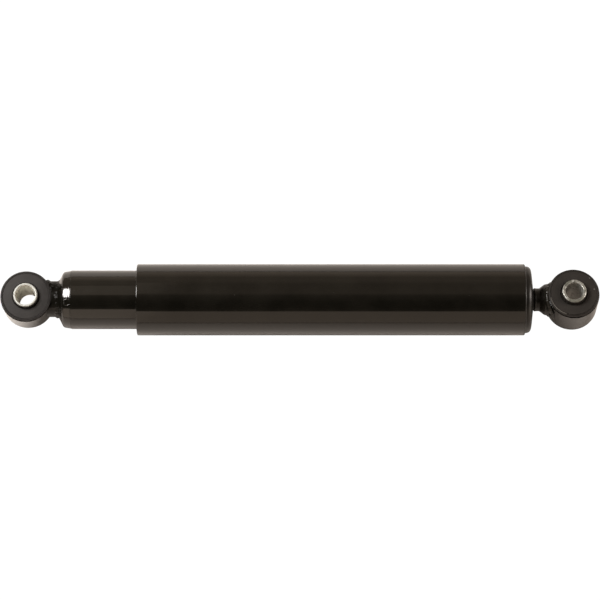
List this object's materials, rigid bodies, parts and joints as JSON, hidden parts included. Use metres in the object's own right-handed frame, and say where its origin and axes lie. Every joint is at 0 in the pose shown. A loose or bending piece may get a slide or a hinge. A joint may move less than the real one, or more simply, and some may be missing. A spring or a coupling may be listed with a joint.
{
  "type": "shock absorber",
  "caption": "Twin-tube oil shock absorber with a dust cover and a rubber-bushed eye at each end, shown nearly closed, for a truck or trailer suspension.",
  "frame": {"origin": "centre of the lower eye's bore", "axes": "+X along the damper from the lower eye to the upper eye, +Z along the lower eye's bore"},
  "size_m": [0.6106, 0.073, 0.073],
  "materials": {
    "black_paint": "gloss black enamel",
    "bush_rubber": "moulded, satin",
    "zinc_sleeve": "zinc plated",
    "chrome_rod": "polished",
    "plain_steel": "machined",
    "sintered_iron": "as sintered",
    "bearing_bronze": "sliding bearing",
    "piston_band": "low-friction polymer",
    "seal_rubber": "oil-proof"
  },
  "bodies": {
    "cylinder": {"lower_eye_ring": "black_paint", "lower_bush": "bush_rubber", "base_cap": "black_paint", "reservoir_tube": "black_paint", "pressure_tube": "plain_steel", "foot_valve_body": "sintered_iron", "foot_valve_discs": "plain_steel", "foot_valve_bolt": "plain_steel", "foot_valve_nut": "plain_steel", "rod_guide": "sintered_iron", "guide_bush": "bearing_bronze", "rod_seal": "seal_rubber", "seal_plate": "plain_steel"},
    "foot_check": {"foot_check_plate": "plain_steel", "foot_check_spring": "plain_steel"},
    "lower_bolt_sleeve": {"lower_sleeve": "zinc_sleeve"},
    "piston_band": {"piston_ring": "piston_band"},
    "rod": {"piston_rod": "chrome_rod", "piston_nut": "plain_steel", "rebound_discs": "plain_steel", "piston": "sintered_iron", "check_stop": "plain_steel", "rebound_bumper": "seal_rubber", "dust_cap": "black_paint", "dust_cover": "black_paint", "upper_eye_stem": "black_paint", "upper_eye_ring": "black_paint", "upper_bush": "bush_rubber"},
    "piston_check": {"piston_check_plate": "plain_steel", "piston_check_spring": "plain_steel"},
    "upper_bolt_sleeve": {"upper_sleeve": "zinc_sleeve"}
  },
  "joints": [
    {"name": "rod_slide", "type": "slide", "parent": "cylinder", "child": "piston_band", "axis": [1, 0, 0], "range_m": [-0.008, 0.334]},
    {"name": "rod_turn", "type": "hinge", "parent": "piston_band", "child": "rod", "pos_m": [0.3, 0, 0], "axis": [1, 0, 0], "continuous": true},
    {"name": "lower_bush_twist", "type": "hinge", "parent": "cylinder", "child": "lower_bolt_sleeve", "pos_m": [0, 0, 0], "axis": [0, 0, 1], "range_deg": [-15, 15], "stiffness_Nm_per_rad": 60},
    {"name": "upper_bush_twist", "type": "hinge", "parent": "rod", "child": "upper_bolt_sleeve", "pos_m": [0.558, 0, 0], "axis": [0, 0.1616, 0.9869], "range_deg": [-15, 15], "stiffness_Nm_per_rad": 60},
    {"name": "foot_check_lift", "type": "slide", "parent": "cylinder", "child": "foot_check", "axis": [1, 0, 0], "range_m": [0, 0.001], "stiffness_N_per_m": 500, "springref_m": -0.001},
    {"name": "piston_check_lift", "type": "slide", "parent": "rod", "child": "piston_check", "axis": [1, 0, 0], "range_m": [0, 0.001], "stiffness_N_per_m": 500, "springref_m": -0.001}
  ]
}
